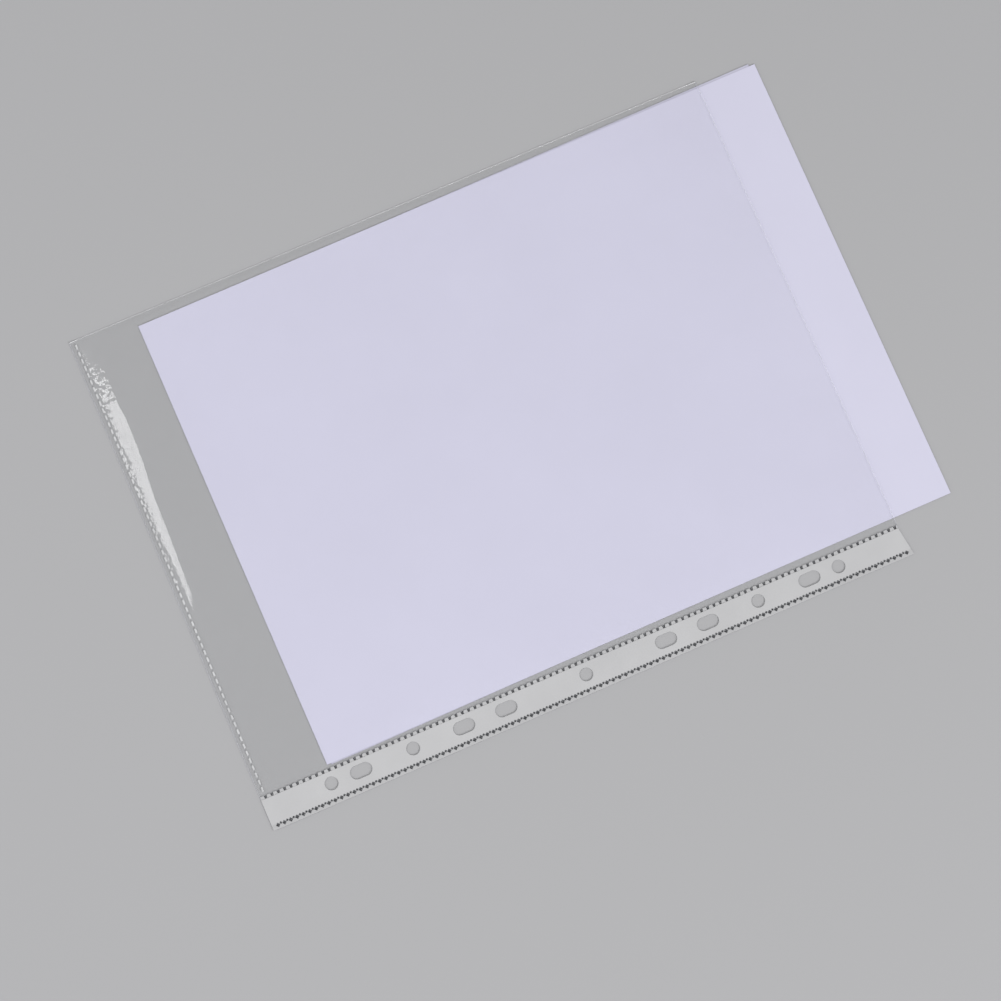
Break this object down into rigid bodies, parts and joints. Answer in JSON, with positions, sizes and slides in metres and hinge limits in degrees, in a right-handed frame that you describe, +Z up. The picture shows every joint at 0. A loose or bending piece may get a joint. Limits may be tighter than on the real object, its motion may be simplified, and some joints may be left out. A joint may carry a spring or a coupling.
{
  "type": "sheet protector",
  "caption": "Clear A4 punched pocket with a white reinforced binding strip of round and slotted ring holes, welded seams, and paper sheets that slide out of its open end.",
  "frame": {"origin": "axis of the centre ring hole, at the plane that the pocket rests on", "axes": "+X along the binding strip towards the open mouth, +Y from the strip to the folded long edge, +Z up, out of the front film"},
  "size_m": [0.3293, 0.2325, 0.0017],
  "materials": {
    "clear_film": "gloss",
    "white_strip": "satin",
    "weld": "satin",
    "paper": "matte"
  },
  "bodies": {
    "pocket": {"rear_film": "clear_film", "film_border": "clear_film", "bottom_rise": "clear_film", "strip_rise": "clear_film", "fold_rise": "clear_film", "front_film": "clear_film", "binding_strip": "white_strip", "bottom_weld": "weld", "inner_weld": "weld", "outer_weld": "weld"},
    "rear_paper": {"rear_sheet": "paper"},
    "front_paper": {"front_sheet": "paper"}
  },
  "joints": [
    {"name": "front_sheet_slide", "type": "slide", "parent": "pocket", "child": "front_paper", "axis": [1, 0, 0], "range_m": [-0.027, 0.29]},
    {"name": "rear_sheet_slide", "type": "slide", "parent": "pocket", "child": "rear_paper", "axis": [1, 0, 0], "range_m": [-0.028, 0.29]}
  ]
}
